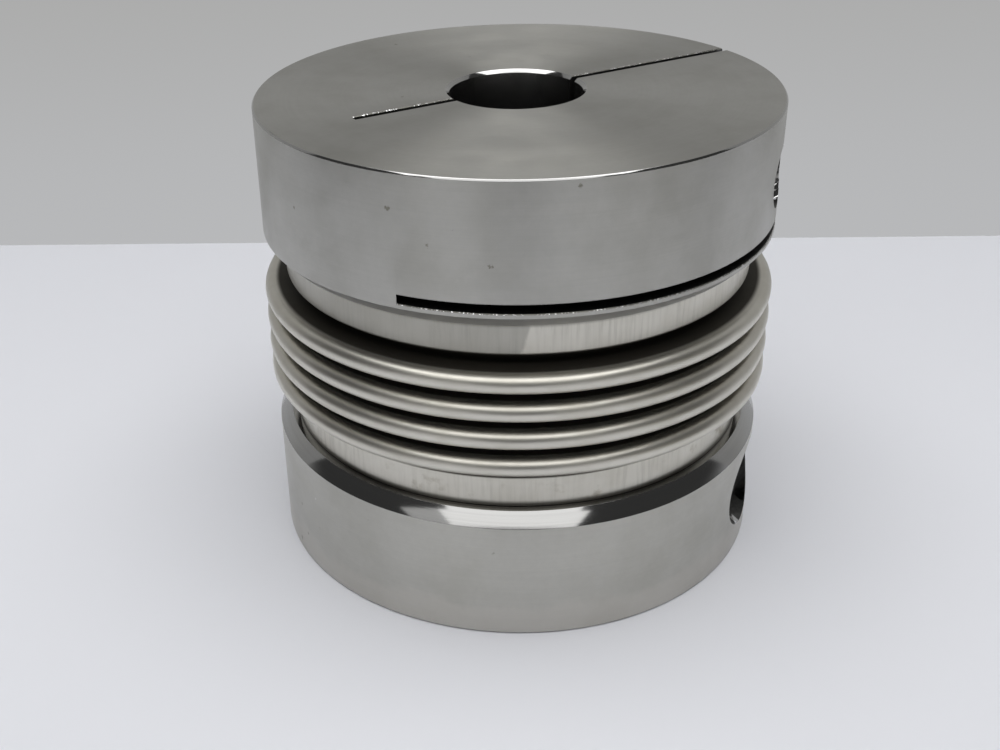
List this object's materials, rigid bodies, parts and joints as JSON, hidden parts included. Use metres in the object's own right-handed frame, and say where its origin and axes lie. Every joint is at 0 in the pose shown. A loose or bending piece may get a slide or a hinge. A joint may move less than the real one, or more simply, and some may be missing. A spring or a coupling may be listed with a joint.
{
  "type": "bellows coupling",
  "caption": "Shaft coupling: a corrugated metal bellows between two slotted clamping hubs, each tightened on its shaft by a cap screw.",
  "frame": {"origin": "on the coupling's axis, at the lower hub's end face, which it stands on", "axes": "+Z along the shafts' axis towards the upper hub; +X along the upper hub's clamping slit, towards its open end; the upper clamp screw lies parallel to Y"},
  "size_m": [0.1116, 0.1114, 0.1],
  "materials": {
    "hub_steel": "turned, satin",
    "bellows_steel": "bright drawn stainless",
    "screw_steel": "dark satin"
  },
  "bodies": {
    "root": {"bottom_hub": "hub_steel", "top_hub": "hub_steel", "bellows": "bellows_steel", "bottom_clamp_screw": "screw_steel", "top_clamp_screw": "screw_steel"}
  },
  "joints": []
}
